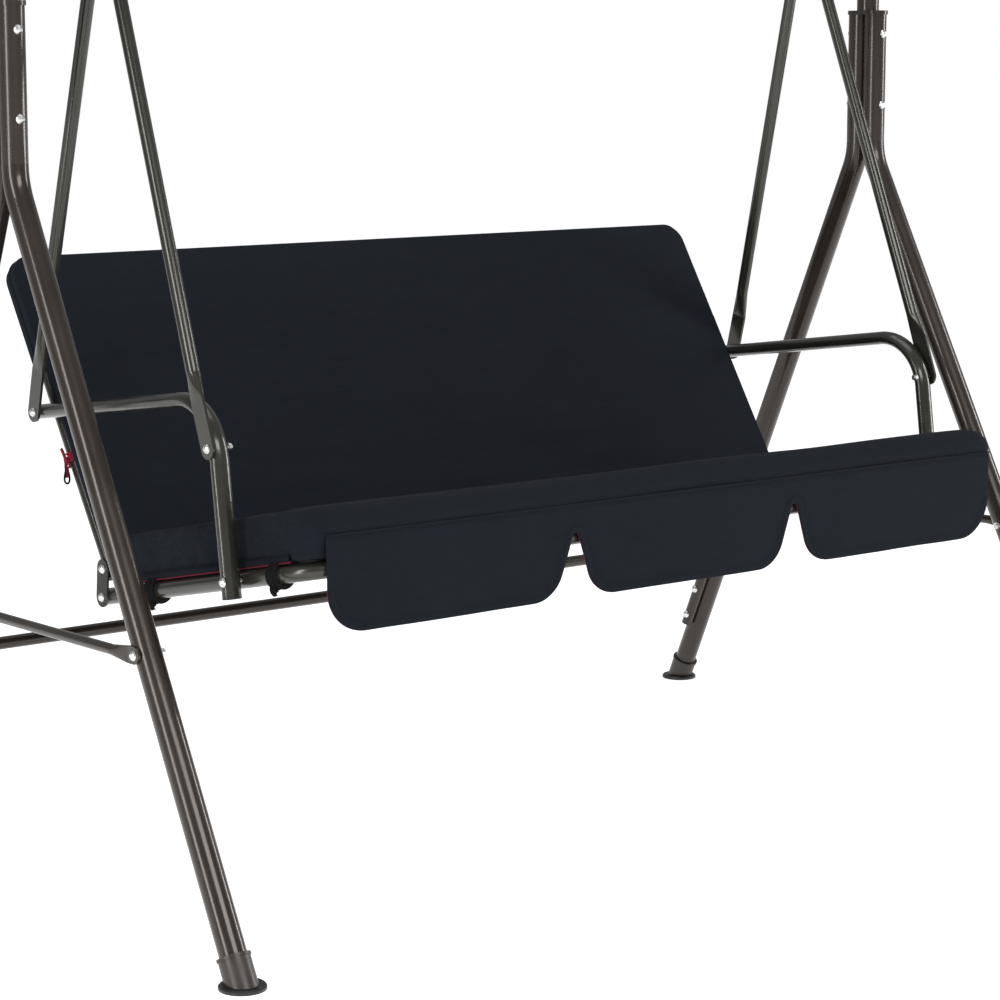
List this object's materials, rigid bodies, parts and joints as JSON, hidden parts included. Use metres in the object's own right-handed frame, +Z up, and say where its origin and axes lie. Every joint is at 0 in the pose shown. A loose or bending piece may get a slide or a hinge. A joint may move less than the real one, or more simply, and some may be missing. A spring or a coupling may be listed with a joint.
{
  "type": "porch swing seat",
  "caption": "Free-standing garden swing seat: a padded bench hung by tubes from the top beam of a splayed tube stand, so that it swings back and forth.",
  "frame": {"origin": "on the ground, midway between the four feet", "axes": "+X along the bench to the sitter's left, the front of the seat faces -Y, +Z up"},
  "size_m": [1.754, 1.102, 1.491],
  "materials": {
    "frame_tube": "glossy powder coat",
    "bench_tube": "glossy powder coat",
    "zinc": "zinc plated, satin",
    "black_plastic": "matte",
    "brown_plastic": "satin",
    "cover": "woven polyester",
    "sling": "woven mesh",
    "webbing": "woven webbing",
    "ribbon": "satin ribbon",
    "bearing": "self-lubricating nylon"
  },
  "bodies": {
    "stand": {"beam_joiner": "frame_tube", "beam_joint_bolts": "zinc", "crossbar_bolts": "zinc", "crossbar_end_caps": "black_plastic", "left_back_foot_sleeve": "brown_plastic", "left_back_foot_sole": "black_plastic", "left_back_leg": "frame_tube", "left_front_foot_sleeve": "brown_plastic", "left_front_foot_sole": "black_plastic", "left_front_leg": "frame_tube", "left_pivot_bolt": "zinc", "left_pivot_bracket": "frame_tube", "left_side_brace": "frame_tube", "left_top_tube": "frame_tube", "leg_top_bolts": "zinc", "rear_crossbar": "frame_tube", "right_back_foot_sleeve": "brown_plastic", "right_back_foot_sole": "black_plastic", "right_back_leg": "frame_tube", "right_front_foot_sleeve": "brown_plastic", "right_front_foot_sole": "black_plastic", "right_front_leg": "frame_tube", "right_pivot_bolt": "zinc", "right_pivot_bracket": "frame_tube", "right_side_brace": "frame_tube", "right_top_tube": "frame_tube", "side_brace_bolts": "zinc"},
    "bench": {"armrest_plugs": "black_plastic", "armrest_post_bolts": "zinc", "back_cushion": "cover", "back_hanger_bolts": "zinc", "backrest_foot_plugs": "black_plastic", "backrest_frame": "bench_tube", "backrest_stay": "bench_tube", "front_hanger_bolts": "zinc", "left_armrest": "bench_tube", "left_back_bracket": "bench_tube", "left_back_hanger": "bench_tube", "left_back_tie": "ribbon", "left_front_hanger": "bench_tube", "left_pivot_bush": "bearing", "left_seat_straps": "webbing", "left_tie_loop": "webbing", "rail_bracket_bolts": "zinc", "right_armrest": "bench_tube", "right_back_bracket": "bench_tube", "right_back_hanger": "bench_tube", "right_back_tie": "ribbon", "right_front_hanger": "bench_tube", "right_pivot_bush": "bearing", "right_seat_straps": "webbing", "right_tie_loop": "webbing", "seat_back_tube": "bench_tube", "seat_cushion": "cover", "seat_frame": "bench_tube", "seat_middle_tube": "bench_tube", "seat_rail_plugs": "black_plastic", "seat_sling": "sling", "seat_valance": "cover", "tube_bracket_bolts": "zinc"}
  },
  "joints": [
    {"name": "seat_swing", "type": "hinge", "parent": "stand", "child": "bench", "pos_m": [0, 0.046, 1.421], "axis": [1, 0, 0], "range_deg": [-20, 20]}
  ]
}
